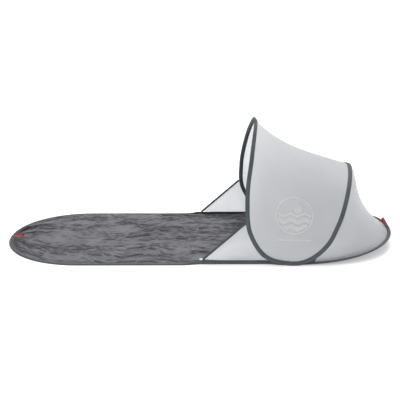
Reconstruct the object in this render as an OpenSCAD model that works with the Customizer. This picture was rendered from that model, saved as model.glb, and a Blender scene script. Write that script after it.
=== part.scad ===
// Pop-up beach shelter: a long ground mat on a spring hoop, with a small canopy
// stretched over one closed saddle-shaped spring hoop at its head end.
// X runs from the foot (-) to the head (+), Y across the mat, Z up from the ground.
// The origin is on the ground, at the middle of the mat's length and width.

/* [Ground mat] */
// Length of the mat over its sleeve, foot tip to head tip
mat_l = 2400; // [2200:10:2600]
// Width of the mat over its sleeve
mat_w = 900; // [800:10:980]
// Length of the rounded foot end
foot_round = 480; // [430:10:520]
// Length of the rounded head end
head_round = 520; // [480:10:560]
// Height that the head tip is lifted off the ground
head_lift = 72; // [50:1:100]
// Thickness of the mat's cloth
mat_t = 2; // [1.5:0.5:3]

/* [Canopy hoop] */
// Place along the mat where the canopy hoop stands on the ground
stand_x = 520; // [460:10:560]
// Height of the front arch over the ground
peak_h = 772; // [700:1:840]
// How far the peak leans forward of the standing points
peak_lean = 178; // [150:1:210]
// Height of the rear arch over the ground
rear_h = 484; // [440:1:520]
// How far the rear arch leans back from the standing points
rear_lean = 402; // [370:1:430]

/* [Sleeves and spring wire] */
// Width of the flat sleeve sewn round each hoop
sleeve_w = 26; // [22:1:30]
// Thickness of the sleeve
sleeve_t = 8; // [7:0.5:9]
// Thickness of the sleeve's cloth
sleeve_wall = 1; // [0.8:0.1:1.2]
// Angle to which the wings pull up the sleeve beside them
side_roll = 72; // [60:1:80]
// How far that draws the sleeve inwards
roll_in = 6; // [4:0.5:8]
// Diameter of the spring steel wire
wire_d = 3.5; // [3:0.1:4]
// Outer diameter of the crimped ferrules that close the wires
ferrule_d = 5; // [4.6:0.1:5.2]
// Length of the ferrules
ferrule_l = 24; // [20:1:30]

/* [Cloth panels] */
// Thickness of the canopy, rear and wing cloth
cloth_t = 2; // [1.5:0.5:3]
// Sag of the canopy ridge below a straight line between the arches
ridge_sag = 50; // [35:1:65]
// Inward sag of the rear panel
rear_sag = 51; // [35:1:75]
// Place along the mat where the side wings start
wing_x = 22; // [10:1:60]
// Width of the binding on the wings' sloping edges
binding_w = 12; // [8:1:13]

/* [Folds] */
// Place along the mat where the foot section folds up
fold_x = -110; // [-150:10:-90]

/* [Pull tabs and label] */
// Width of the pull tabs
tab_w = 25; // [20:1:30]
// Length of the pull tabs
tab_l = 62; // [45:1:70]
// How far a pull tab is twisted from its root to its end
tab_twist = 65; // [40:1:80]
// Thickness of the folded webbing of the pull tabs
tab_t = 3; // [2.5:0.5:4]
// Width and height of the blank label at a wing's foot
label_size = 18; // [14:1:22]

/* [Hidden] */

slate = "#5b666b";
silver = "#ccced3";
charcoal = "#6f6e74";
steel = "#9a9da1";
red = "#a5202c";

seam = 0.6;                 // room between pieces that are sewn edge to edge
split = 1;                  // half the gap where a hoop is divided at a fold
edge = sleeve_w / 2 + 2;     // cloth edge to hoop centreline
ground_z = sleeve_t / 2;    // height of the ground hoop's centreline
side_y = mat_w / 2 - sleeve_w / 2;
head_end = mat_l / 2;
head_start = head_end - head_round;
foot_start = foot_round - mat_l / 2;
foot_power = 2.05;          // how square the foot end is: 2 is an ellipse
head_power = 2.2;           // how square the head end is
lift_power = 1.6;           // how gradually the head end lifts
section_n = 10;             // sides of a sleeve's section
wire_n = 8;                 // sides of a bent wire's section
curve_n = 30;               // steps round each mat end
side_step = 14;             // longest step along a straight side
arch_step = 0.25;           // step along the hoop, in control intervals
split_k = 0.01;             // half the gap between the arches, in control intervals

// Half of the canopy hoop's centreline, from the peak (0) past the standing
// point (5) to the top of the rear arch (10), as [x from stand_x, y, z].
half_w = mat_w / 2;
hoop_points = [
    [-peak_lean, 0, peak_h],
    [-1.20 * peak_lean, 0.578 * half_w, 0.781 * peak_h],
    [-1.36 * peak_lean, 0.813 * half_w, 0.492 * peak_h],
    [-1.25 * peak_lean, 0.978 * half_w, 0.240 * peak_h],
    [-0.71 * peak_lean, 1.003 * half_w, 0.065 * peak_h],
    [0, half_w + sleeve_t / 2, sleeve_w / 2 + 1],
    [0.16 * rear_lean, half_w + sleeve_t / 2, sleeve_w / 2 + 2],
    [0.57 * rear_lean, 0.966 * half_w, 0.253 * rear_h],
    [0.71 * rear_lean, 0.876 * half_w, 0.440 * rear_h],
    [0.92 * rear_lean, 0.502 * half_w, 0.837 * rear_h],
    [rear_lean, 0, rear_h]
];
stand_k = 5;
rear_k = 10;

function unit(v) = v / norm(v);
function mix(a, b, s) = a * (1 - s) + b * s;
function power(v, e) = sign(v) * pow(abs(v), e);

// ---- Ground hoop ----
function lift(x) =
    head_lift * pow(max(0, x - stand_x) / (head_end - stand_x), lift_power);
function lift_slope(x) = (lift(x + 1) - lift(x - 1)) / 2;

// Outline of the head end, inset from the mat's edge, from its left (+Y) side
// round the tip to its right side; turn runs from -90 to 90 degrees.
function head_point(turn, inset) =
    [head_start + (head_round - inset) * power(cos(turn), 2 / head_power),
     -(mat_w / 2 - inset) * power(sin(turn), 2 / head_power)];
function foot_point(turn, inset) =
    [foot_start - (foot_round - inset) * power(cos(turn), 2 / foot_power),
     (mat_w / 2 - inset) * power(sin(turn), 2 / foot_power)];
function turns(n) = [for (i = [0:n]) -90 + 180 * i / n];

straight_n = 4;

// The roll of the ground sleeve at x, as a share of side_roll: full beside the
// wings, and none at the folds.
roll_clear = 6;             // flat sleeve left beside a fold
roll_back = [410, 500];     // where the sleeve turns flat again before the canopy hoop's stands
function ramp(x, from, to) =
    let (s = min(1, max(0, (x - from) / (to - from)))) s * s * (3 - 2 * s);
function roll(x) = ramp(x, fold_x + roll_clear, 0) * (1 - ramp(x, roll_back[0], roll_back[1]));
function ground_height(angle) = norm([sleeve_w / 2 * sin(angle), sleeve_t / 2 * cos(angle)]);
rolled_top = 2 * ground_height(side_roll);
side_edge_y = side_y - roll_in - sleeve_w / 2 * cos(side_roll);

function head_path(inset, from_x) = concat(
    [for (i = [0:straight_n - 1]) [mix(from_x, head_start, i / straight_n), mat_w / 2 - inset]],
    [for (t = turns(curve_n)) head_point(t, inset)],
    [for (i = [straight_n - 1:-1:0]) [mix(from_x, head_start, i / straight_n), inset - mat_w / 2]]
);
function foot_path(inset, to_x) = concat(
    [[to_x, inset - mat_w / 2]],
    [for (t = turns(curve_n)) foot_point(t, inset)],
    [[to_x, mat_w / 2 - inset]]
);

// ---- Canopy hoop ----
function hoop_knot(i) =
    let (j = i < 0 ? -i : i > rear_k ? 2 * rear_k - i : i,
         side = (i < 0 || i > rear_k) ? -1 : 1,
         p = hoop_points[j])
    [stand_x + p.x, side * p.y, p.z];
function hoop_slope(i) =
    let (a = hoop_knot(i - 1), b = hoop_knot(i), c = hoop_knot(i + 1),
         before = norm(b - a), after = norm(c - b))
    ((b - a) * after / before + (c - b) * before / after) / (before + after);

// A point on the hoop: k is -5 at the right standing point, 0 at the peak,
// 5 at the left standing point, 10 at the rear top and 15 at the right again.
function hoop(k) =
    let (i = floor(k), u = k - i,
         a = hoop_knot(i), b = hoop_knot(i + 1), span = norm(b - a))
    a * (2 * u * u * u - 3 * u * u + 1)
    + hoop_slope(i) * span * (u * u * u - 2 * u * u + u)
    + b * (3 * u * u - 2 * u * u * u)
    + hoop_slope(i + 1) * span * (u * u * u - u * u);
function hoop_dir(k) = unit(hoop(k + 0.01) - hoop(k - 0.01));

// The sleeve lies flat in the canopy's cloth, so its width points from the
// hoop up to a line across the canopy's middle.
canopy_mid_x = stand_x + 80;
canopy_mid_z = 0.66 * peak_h;
canopy_mid_share = 0.7;     // how far out on that line, as a share of the hoop's
function hoop_wide(k) =
    let (p = hoop(k), t = hoop_dir(k),
         v = [canopy_mid_x, canopy_mid_share * p.y, canopy_mid_z] - p)
    unit(v - t * (v * t));
function inner_edge(k) = hoop(k) + hoop_wide(k) * edge;
function outer_edge(k) = hoop(k) - hoop_wide(k) * edge;

// ---- Sections and sweeps ----
function oval(w, t, n) =
    [for (i = [0:n - 1]) let (a = 360 * (i + 0.5) / n) [w / 2 * cos(a), t / 2 * sin(a)]];
sleeve_out = oval(sleeve_w, sleeve_t, section_n);
sleeve_in = oval(sleeve_w - 2 * sleeve_wall, sleeve_t - 2 * sleeve_wall, section_n);
wire_section = oval(wire_d, wire_d, wire_n);

// A station is [centre, width direction, thickness direction].
function station(p, dir, wide) =
    let (w = unit(wide - dir * (wide * dir))) [p, w, cross(dir, w)];
function hoop_stations(from_k, to_k) =
    let (n = round((to_k - from_k) / arch_step))
    [for (i = [0:n]) let (k = mix(from_k, to_k, i / n)) station(hoop(k), hoop_dir(k), hoop_wide(k))];
function ground_stations(path) =
    [for (i = [0:len(path) - 1])
        let (a = path[max(i - 1, 0)], b = path[min(i + 1, len(path) - 1)],
             p = path[i], slope = lift_slope(p.x),
             dir = unit([b.x - a.x, b.y - a.y, lift(b.x) - lift(a.x)]),
             up = unit([-slope, 0, 1]))
        station([p.x, p.y, ground_z + lift(p.x)], dir, cross(up, dir))];
function side_stations(from_x, to_x, side) =
    let (n = ceil((to_x - from_x) / side_step))
    [for (i = [0:n])
        let (x = mix(from_x, to_x, i / n), angle = side_roll * roll(x))
        [[x, side * (side_y - roll_in * roll(x)), ground_height(angle)],
         [0, side * cos(angle), -sin(angle)], [0, side * sin(angle), cos(angle)]]];
function place(s, q) = s[0] + s[1] * q.x + s[2] * q.y;

module sweep(stations, section) {
    m = len(section);
    last = len(stations) - 1;
    polyhedron(
        points = [for (s = stations) for (q = section) place(s, q)],
        faces = concat(
            [for (i = [0:last - 1]) for (j = [0:m - 1]) let (k = (j + 1) % m)
                each [[i * m + j, i * m + m + j, i * m + m + k], [i * m + j, i * m + m + k, i * m + k]]],
            [[for (j = [0:m - 1]) j]],
            [[for (j = [m - 1:-1:0]) last * m + j]]
        )
    );
}

module hollow_sweep(stations, outer, inner) {
    m = len(outer);
    row = 2 * m;
    last = len(stations) - 1;
    polyhedron(
        points = [for (s = stations) for (q = concat(outer, inner)) place(s, q)],
        faces = [
            for (j = [0:m - 1]) let (k = (j + 1) % m) each concat(
                [for (i = [0:last - 1]) let (r = i * row) each [
                    [r + j, r + row + j, r + row + k],
                    [r + j, r + row + k, r + k],
                    [r + m + k, r + row + m + k, r + row + m + j],
                    [r + m + k, r + row + m + j, r + m + j]
                ]],
                [[j, k, m + k], [j, m + k, m + j]],
                [[last * row + m + j, last * row + m + k, last * row + k],
                 [last * row + m + j, last * row + k, last * row + j]]
            )
        ]
    );
}

// ---- Cloth shells ----
function shell_normal(g, i, j) =
    let (n = len(g) - 1, m = len(g[0]) - 1)
    unit(cross(g[min(i + 1, n)][j] - g[max(i - 1, 0)][j],
               g[i][min(j + 1, m)] - g[i][max(j - 1, 0)]));

// A sheet of even thickness about a grid of points
module shell(g, t) {
    n = len(g);
    m = len(g[0]);
    back = n * m;
    rim = concat(
        [for (j = [0:m - 1]) j],
        [for (i = [1:n - 1]) i * m + m - 1],
        [for (j = [m - 2:-1:0]) (n - 1) * m + j],
        [for (i = [n - 2:-1:1]) i * m]
    );
    polyhedron(
        points = concat(
            [for (i = [0:n - 1]) for (j = [0:m - 1]) g[i][j] + shell_normal(g, i, j) * t / 2],
            [for (i = [0:n - 1]) for (j = [0:m - 1]) g[i][j] - shell_normal(g, i, j) * t / 2]
        ),
        faces = concat(
            [for (i = [0:n - 2]) for (j = [0:m - 2]) let (a = i * m + j) each [
                [a, a + m + 1, a + m],
                [a, a + 1, a + m + 1],
                [back + a, back + a + m, back + a + m + 1],
                [back + a, back + a + m + 1, back + a + 1]
            ]],
            [for (i = [0:len(rim) - 1])
                let (a = rim[i], b = rim[(i + 1) % len(rim)]) each [
                [b, a, back + a],
                [b, back + a, back + b]
            ]]
        )
    );
}

// A sheet ruled between two edges that sags towards the point `inside`
function sag_row(a, b, depth, inside, bias, n) =
    let (mid = (a + b) / 2, way = unit(inside - mid))
    [for (j = [0:n]) let (s = j / n) mix(a, b, s) + way * depth * sin(180 * pow(s, bias))];

canopy_rows = 38;
canopy_cols = 12;
canopy_end = 4.86;      // last ruling before the standing point
canopy_inside = [stand_x + 100, 0, 100];
canopy_bias = 0.68;     // the sag is deeper towards the peak
ridge_span = norm(inner_edge(0) - inner_edge(rear_k));
function canopy_row(k) =
    let (a = inner_edge(k), b = inner_edge(rear_k - k), span = norm(b - a) / ridge_span)
    sag_row(a, b, ridge_sag * span * span, canopy_inside, canopy_bias, canopy_cols);
function canopy_grid() =
    [for (i = [0:canopy_rows]) canopy_row(mix(canopy_end, -canopy_end, i / canopy_rows))];

rear_rows = 36;
rear_cols = 9;
rear_start = 1.6;       // first ruling, where the hoop rises over the mat's sleeve
rear_inside = [stand_x + 200, 0, 60];
rear_bias = 1.25;
function rear_foot(q) =
    let (x0 = hoop(stand_k + rear_start).x, run = head_start - x0, side = sign(q - 0.5),
         u = 1 - abs(2 * q - 1), knee = 0.08, inset = sleeve_w + 2,
         p = u < knee ? [x0 + run * u / knee, -side * (mat_w / 2 - inset)]
                      : head_point(side * 90 * (1 - u) / (1 - knee), inset))
    [p.x, p.y, mat_t + seam + cloth_t / 2 + lift(p.x)];
rear_span = norm(outer_edge(rear_k) - rear_foot(0.5));
function rear_row(q) =
    let (a = outer_edge(mix(stand_k + rear_start, 3 * stand_k - rear_start, q)), b = rear_foot(q),
         span = norm(b - a) / rear_span)
    sag_row(a, b, rear_sag * span * span, rear_inside, rear_bias, rear_cols);
function rear_grid() = [for (i = [0:rear_rows]) rear_row(i / rear_rows)];

// ---- Side wings ----
wing_top_k = 2.66;      // where the wing's sloping edge meets the front arch
wing_low_k = 4.1;       // where the wing's rear corner meets the front arch
wing_n = 10;
wing_foot = [wing_x, side_edge_y, rolled_top + binding_w / 2];
wing_head = outer_edge(wing_top_k) - [4, 0, 2];
wing_slope = unit(wing_head - wing_foot);
wing_rear_x = hoop(wing_low_k).x;
function wing_row(u) =
    let (a = outer_edge(mix(wing_low_k, wing_top_k + 0.05, u)),
         b = [mix(wing_rear_x, wing_x + binding_w / 2, u), side_edge_y, rolled_top + seam + cloth_t / 2])
    [for (j = [0:wing_n]) mix(a, b, j / wing_n)];
function wing_grid() = [for (i = [0:wing_n]) wing_row(i / wing_n)];

// ---- Ferrules ----
ferrule_x = 200;
hoop_ferrule_k = 1.5;

// ---- Pull tabs ----
tab_gap = 0.5;
foot_tab_x = 26 - mat_l / 2;
foot_tab_tilt = 12;
head_tab_tilt = 47;
head_tab_x = head_end - 7;
label_lean = 12;

// ================= Ground mat =================
module floor_foot() {
    color(charcoal)
    linear_extrude(mat_t)
    polygon(foot_path(sleeve_w + seam, fold_x - split));
}

module floor_middle() {
    w = mat_w - 2 * (sleeve_w + seam);
    color(charcoal)
    translate([fold_x + split, -w / 2, 0])
    cube([stand_x - fold_x - 2 * split, w, mat_t]);
}

module floor_head() {
    path = head_path(sleeve_w + seam, stand_x + split);
    half = floor(len(path) / 2);
    grid = [for (i = [0:half - 1]) let (p = path[i], z = mat_t / 2 + lift(p.x))
        [[p.x, p.y, z], [p.x, 0, z], [p.x, -p.y, z]]];
    color(charcoal)
    shell(grid, mat_t);
}

module ground_sleeve_foot() {
    color(slate)
    hollow_sweep(ground_stations(foot_path(sleeve_w / 2, fold_x - split)), sleeve_out, sleeve_in);
}

module ground_sleeve_left() {
    color(slate)
    hollow_sweep(side_stations(fold_x + split, stand_x - split, 1), sleeve_out, sleeve_in);
}
module ground_sleeve_right() {
    mirror([0, 1, 0])
    ground_sleeve_left();
}

module ground_sleeve_head() {
    color(slate)
    hollow_sweep(ground_stations(head_path(sleeve_w / 2, stand_x + split)), sleeve_out, sleeve_in);
}

module ground_wire_foot() {
    color(steel)
    sweep(ground_stations(foot_path(sleeve_w / 2, fold_x - split)), wire_section);
}

module side_wire(from_x, to_x) {
    color(steel)
    sweep(side_stations(from_x, to_x, 1), wire_section);
}
module ground_wire_left() {
    side_wire(fold_x + split, ferrule_x - seam);
    side_wire(ferrule_x + seam, stand_x - split);
}
module ground_wire_right() {
    mirror([0, 1, 0])
    side_wire(fold_x + split, stand_x - split);
}

module ground_wire_head() {
    color(steel)
    sweep(ground_stations(head_path(sleeve_w / 2, stand_x + split)), wire_section);
}

// A crimped tube round a wire, centred on the origin and lying along Z
module ferrule() {
    color(steel)
    difference() {
        cylinder(d = ferrule_d, h = ferrule_l, center = true, $fn = 48);
        cylinder(d = wire_d, h = ferrule_l + 2, center = true, $fn = 48);
    }
}
module ground_ferrule() {
    translate([ferrule_x, side_y - roll_in, rolled_top / 2])
    rotate([0, 90, 0])
    ferrule();
}

// ================= Canopy hoop =================
module front_hoop_sleeve() {
    color(slate)
    hollow_sweep(hoop_stations(split_k - stand_k, stand_k - split_k), sleeve_out, sleeve_in);
}
module front_hoop_wire() {
    color(steel)
    sweep(hoop_stations(split_k - stand_k, stand_k - split_k), wire_section);
}
module rear_hoop_sleeve() {
    color(slate)
    hollow_sweep(hoop_stations(stand_k + split_k, 3 * stand_k - split_k), sleeve_out, sleeve_in);
}
module rear_hoop_wire() {
    color(steel)
    sweep(hoop_stations(stand_k + split_k, 3 * stand_k - split_k), wire_section);
}

module hoop_ferrule() {
    dir = hoop_dir(hoop_ferrule_k);
    translate(hoop(hoop_ferrule_k))
    rotate([0, acos(dir.z), atan2(dir.y, dir.x)])
    ferrule();
}

// ================= Cloth panels =================
module canopy() {
    color(silver)
    shell(canopy_grid(), cloth_t);
}
module rear_panel() {
    color(silver)
    shell(rear_grid(), cloth_t);
}
module wing_left() {
    color(silver)
    shell(wing_grid(), cloth_t);
}
module wing_right() {
    mirror([0, 1, 0])
    wing_left();
}
module wing_binding_left() {
    len = norm(wing_head - wing_foot);
    color(slate)
    translate(wing_foot)
    rotate([0, acos(wing_slope.z), atan2(wing_slope.y, wing_slope.x)])
    linear_extrude(len)
    polygon(oval(binding_w, 0.4 * binding_w, section_n));
}
module wing_binding_right() {
    mirror([0, 1, 0])
    wing_binding_left();
}

// ================= Pull tabs and label =================
// A folded webbing tab that starts at the origin, lies along +X and turns its
// upper face to the right (1) or to the left (-1)
module tab(side) {
    color(red)
    rotate([0, 90, 0])
    linear_extrude(tab_l, twist = -side * tab_twist, slices = 16)
    square([tab_t, tab_w], center = true);
}
module foot_tab() {
    translate([foot_tab_x, 0, sleeve_t + tab_gap + tab_t / 2])
    rotate([0, -foot_tab_tilt, 0])
    tab(1);
}
module head_tab() {
    translate([head_tab_x, 0, sleeve_t + lift(head_tab_x) + tab_gap + tab_t])
    rotate([0, -head_tab_tilt, 180])
    tab(-1);
}
module blank_label() {
    color("white")
    translate([wing_x - 1.3 * label_size, -side_edge_y, rolled_top + tab_gap])
    rotate([label_lean, 0, 0])
    cube([label_size, 1, label_size * 0.8]);
}

floor_foot();
floor_middle();
floor_head();
ground_sleeve_foot();
ground_sleeve_left();
ground_sleeve_right();
ground_sleeve_head();
ground_wire_foot();
ground_wire_left();
ground_wire_right();
ground_wire_head();
ground_ferrule();
front_hoop_sleeve();
front_hoop_wire();
hoop_ferrule();
rear_hoop_sleeve();
rear_hoop_wire();
canopy();
rear_panel();
wing_left();
wing_right();
wing_binding_left();
wing_binding_right();
foot_tab();
head_tab();
blank_label();
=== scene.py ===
import math

import bpy
import numpy as np
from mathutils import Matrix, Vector


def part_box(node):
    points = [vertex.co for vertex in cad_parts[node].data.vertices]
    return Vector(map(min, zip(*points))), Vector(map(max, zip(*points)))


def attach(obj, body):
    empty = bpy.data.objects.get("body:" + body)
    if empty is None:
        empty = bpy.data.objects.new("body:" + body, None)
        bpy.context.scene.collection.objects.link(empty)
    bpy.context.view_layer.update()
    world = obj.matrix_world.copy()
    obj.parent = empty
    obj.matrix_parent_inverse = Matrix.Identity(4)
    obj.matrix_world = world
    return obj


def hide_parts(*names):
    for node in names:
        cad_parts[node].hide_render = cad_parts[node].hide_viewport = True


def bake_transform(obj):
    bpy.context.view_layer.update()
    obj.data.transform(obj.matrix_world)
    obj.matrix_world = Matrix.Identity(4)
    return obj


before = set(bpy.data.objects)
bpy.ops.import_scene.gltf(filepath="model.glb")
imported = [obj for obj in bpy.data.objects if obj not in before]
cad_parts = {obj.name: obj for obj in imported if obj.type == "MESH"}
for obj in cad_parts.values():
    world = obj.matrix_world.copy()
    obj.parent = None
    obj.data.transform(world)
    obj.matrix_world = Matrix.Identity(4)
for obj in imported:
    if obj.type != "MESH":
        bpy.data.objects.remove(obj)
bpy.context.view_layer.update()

# ======================= Sizes, in metres, as the CAD has them =======================
MAT_L, MAT_W = 2.4, 0.9
FOOT_ROUND, HEAD_ROUND = 0.48, 0.52
FOOT_POWER, HEAD_POWER = 2.05, 2.2      # how square the mat's ends are
HEAD_LIFT = 0.072
STAND_X = 0.52
PEAK_H, PEAK_LEAN = 0.772, 0.178
REAR_H, REAR_LEAN = 0.484, 0.402
SLEEVE_W, SLEEVE_T = 0.026, 0.008
WIRE_D = 0.0035
RIDGE_SAG, REAR_SAG = 0.050, 0.051
WING_X, BINDING_W = 0.022, 0.012
FOLD_X = -0.110
TAB_W, TAB_L, TAB_TWIST = 0.025, 0.062, math.radians(65)
FOOT_TAB_TILT, HEAD_TAB_TILT = math.radians(12), math.radians(47)
SIDE_ROLL, ROLL_IN = math.radians(72), 0.006    # how the wings pull up the sleeve beside them
ROLL_CLEAR = 0.006                      # the roll starts this far from the fold line
ROLL_BACK = (0.410, 0.500)              # where the sleeve rolls back again, behind the wings

EDGE = SLEEVE_W / 2 + 0.002             # a hoop's centreline to the edge of the panels
TUCK = SLEEVE_W / 2 - 0.0025            # how near to it the cloth goes, inside the sleeve's slot
CLOTH = 0.0005                          # thickness of the cloth
HALF_W = MAT_W / 2
HEAD_END = MAT_L / 2
HEAD_START = HEAD_END - HEAD_ROUND
FOOT_START = FOOT_ROUND - MAT_L / 2
MAT_SEAM_X = 0.40                       # where the two halves of the mat and its sleeve meet
FOLD_REACH = 0.055                      # how far a fold's bend would spread to each side; blended() takes it but doesn't use it
STAND_REACH = 0.040
SLEEVE_STEP = 0.010                     # length of one station of the mat's sleeve and wire

STAND_K, REAR_K = 5, 10                 # places on the hoop: 0 peak, 5 and 15 stands, 10 rear top
WING_TOP_K, WING_LOW_K = 2.66, 4.1
CANOPY_END_K = 4.85
REAR_START = 1.5


# ======================= Small tools =======================
def unit(v):
    return v / np.linalg.norm(v, axis=-1, keepdims=True)


def mix(a, b, s):
    return a * (1 - s) + b * s


def smooth(x):
    x = np.clip(x, 0, 1)
    return x * x * (3 - 2 * x)


def power(v, e):
    return np.sign(v) * np.abs(v) ** e


def lengths(points):
    """How far along a run of points each one is."""
    steps = np.linalg.norm(np.diff(points, axis=0), axis=-1)
    return np.concatenate([np.zeros((1,) + steps.shape[1:]), np.cumsum(steps, axis=0)])


class Noise:
    """Seeded gradient noise on a plane, from about -1 to 1."""

    def __init__(self, seed):
        rng = np.random.default_rng(seed)
        angles = rng.uniform(0, 2 * math.pi, 256)
        self.order = rng.permutation(256)
        self.slopes = np.stack([np.cos(angles), np.sin(angles)], -1)

    def __call__(self, x, y):
        x, y = np.broadcast_arrays(np.asarray(x, float), np.asarray(y, float))
        i, j = np.floor(x).astype(int), np.floor(y).astype(int)
        u, v = x - i, y - j
        total = np.zeros(x.shape)
        for di in (0, 1):
            for dj in (0, 1):
                slope = self.slopes[self.order[(self.order[(i + di) % 256] + j + dj) % 256]]
                share = smooth(1 - np.abs(u - di)) * smooth(1 - np.abs(v - dj))
                total += share * (slope[..., 0] * (u - di) + slope[..., 1] * (v - dj))
        return total * 1.5


# ======================= Camera =======================
def make_camera():
    """Looks square at the mat's side from a little above, as the photograph does."""
    target = Vector((0.0033, 0, 0.2525))
    azimuth, elevation, distance = math.radians(-0.2177), math.radians(18.7393), 5.3845
    data = bpy.data.cameras.new("camera")
    data.sensor_width = 36
    data.lens = 77.37
    cam = bpy.data.objects.new("camera", data)
    back = Vector((
        math.sin(azimuth) * math.cos(elevation),
        -math.cos(azimuth) * math.cos(elevation),
        math.sin(elevation),
    ))
    cam.location = target + back * distance
    cam.rotation_euler = (-back).to_track_quat("-Z", "Y").to_euler()
    bpy.context.scene.collection.objects.link(cam)
    bpy.context.scene.camera = cam


make_camera()


# ======================= The canopy hoop =======================
# Half of its centreline, from the peak past the standing point to the top of
# the rear arch, as (x from the standing point, y, z).
HOOP_POINTS = (
    (-PEAK_LEAN, 0, PEAK_H),
    (-1.20 * PEAK_LEAN, 0.578 * HALF_W, 0.781 * PEAK_H),
    (-1.36 * PEAK_LEAN, 0.813 * HALF_W, 0.492 * PEAK_H),
    (-1.25 * PEAK_LEAN, 0.978 * HALF_W, 0.240 * PEAK_H),
    (-0.71 * PEAK_LEAN, 1.003 * HALF_W, 0.065 * PEAK_H),
    (0, HALF_W + SLEEVE_T / 2, SLEEVE_W / 2 + 0.001),
    (0.16 * REAR_LEAN, HALF_W + SLEEVE_T / 2, SLEEVE_W / 2 + 0.002),
    (0.57 * REAR_LEAN, 0.966 * HALF_W, 0.253 * REAR_H),
    (0.71 * REAR_LEAN, 0.876 * HALF_W, 0.440 * REAR_H),
    (0.92 * REAR_LEAN, 0.502 * HALF_W, 0.837 * REAR_H),
    (REAR_LEAN, 0, REAR_H),
)


def hoop_knot(i):
    j = -i if i < 0 else 2 * REAR_K - i if i > REAR_K else i
    side = -1 if i < 0 or i > REAR_K else 1
    x, y, z = HOOP_POINTS[j]
    return np.array([STAND_X + x, side * y, z])


def hoop_slope(i):
    a, b, c = hoop_knot(i - 1), hoop_knot(i), hoop_knot(i + 1)
    before, after = np.linalg.norm(b - a), np.linalg.norm(c - b)
    return ((b - a) * after / before + (c - b) * before / after) / (before + after)


KNOT_RANGE = range(-STAND_K - 1, 3 * STAND_K + 2)
KNOTS = np.array([hoop_knot(i) for i in KNOT_RANGE])
SLOPES = np.array([hoop_slope(i) for i in KNOT_RANGE])


def hoop(k):
    """Points on the hoop's centreline at places k, which may be an array."""
    k = np.asarray(k, float)
    i = np.floor(k).astype(int)
    u = (k - i)[..., None]
    i = i - KNOT_RANGE[0]
    a, b = KNOTS[i], KNOTS[i + 1]
    span = np.linalg.norm(b - a, axis=-1, keepdims=True)
    return (
        a * (2 * u**3 - 3 * u**2 + 1)
        + SLOPES[i] * span * (u**3 - 2 * u**2 + u)
        + b * (3 * u**2 - 2 * u**3)
        + SLOPES[i + 1] * span * (u**3 - u**2)
    )


def hoop_dir(k):
    k = np.asarray(k, float)
    return unit(hoop(k + 0.01) - hoop(k - 0.01))


def hoop_wide(k):
    """The sleeve's width direction: square to the hoop, up to a line across the canopy's middle."""
    p, t = hoop(k), hoop_dir(k)
    middle = p * [0, 0.7, 0] + [STAND_X + 0.08, 0, 0.66 * PEAK_H]
    v = middle - p
    return unit(v - t * (v * t).sum(-1, keepdims=True))


def beside_hoop(k, offset):
    """A point of the canopy's side (+) or of the outer side (-) of the hoop."""
    return hoop(k) + hoop_wide(k) * offset


# ======================= The ground hoop =======================
def lift(x):
    return HEAD_LIFT * (np.maximum(0, x - STAND_X) / (HEAD_END - STAND_X)) ** 1.6


def head_point(turn, inset):
    """The head end's outline at turn, from -90 degrees on the left to 90 on the right."""
    x = HEAD_START + (HEAD_ROUND - inset) * power(np.cos(turn), 2 / HEAD_POWER)
    y = -(HALF_W - inset) * power(np.sin(turn), 2 / HEAD_POWER)
    return np.stack([x, y], -1)


def foot_point(turn, inset):
    """The foot end's outline at turn, from -90 degrees on the right to 90 on the left."""
    x = FOOT_START - (FOOT_ROUND - inset) * power(np.cos(turn), 2 / FOOT_POWER)
    y = (HALF_W - inset) * power(np.sin(turn), 2 / FOOT_POWER)
    return np.stack([x, y], -1)


def even_points(points, step):
    """The same line again, with points an even step apart."""
    at = lengths(points)
    even = np.linspace(0, at[-1], int(round(at[-1] / step)) + 1)
    return np.stack([np.interp(even, at, points[:, a]) for a in range(points.shape[1])], -1)


def ground_path(end_point, inset):
    """Half of the ground hoop: from the seam along one side, round an end and back to the seam."""
    turns = np.linspace(-math.pi / 2, math.pi / 2, 361)
    curve = end_point(turns, inset)
    first = np.array([[MAT_SEAM_X, curve[0, 1]]])
    last = np.array([[MAT_SEAM_X, curve[-1, 1]]])
    return even_points(np.concatenate([first, curve, last]), SLEEVE_STEP)


def roll(x):
    """How far the sleeve is rolled up on edge, from 0 to 1: fully beside the wings."""
    rise = smooth((x - FOLD_X - ROLL_CLEAR) / (-FOLD_X - ROLL_CLEAR))
    return rise * (1 - smooth((x - ROLL_BACK[0]) / (ROLL_BACK[1] - ROLL_BACK[0])))


# The two outer corners of the sleeve's section that it rests on as it rolls:
# how far out from its centreline, and how far below.
REST_CORNERS = ((0.012, 0.0040), (0.013, 0.0018))


def ground_height(x):
    """Height of the sleeve's centreline, resting on the ground."""
    angle = SIDE_ROLL * roll(x)
    reaches = [out * np.sin(angle) + below * np.cos(angle) for out, below in REST_CORNERS]
    return np.maximum(*reaches) + lift(x)


def ground_frames(path):
    """Centres, directions along, and directions out across the hoop, for a sweep."""
    x, y = path[:, 0], path[:, 1]
    centre = np.stack([x, y - np.sign(y) * ROLL_IN * roll(x), ground_height(x)], -1)
    along = unit(np.gradient(centre, axis=0))
    slope = (lift(x + 0.001) - lift(x - 0.001)) / 0.002
    up = unit(np.stack([-slope, 0 * slope, 1 + 0 * slope], -1))
    out = unit(np.cross(up, along))
    angle = (SIDE_ROLL * roll(x))[:, None]
    return centre, along, unit(out * np.cos(angle) - up * np.sin(angle))


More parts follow.
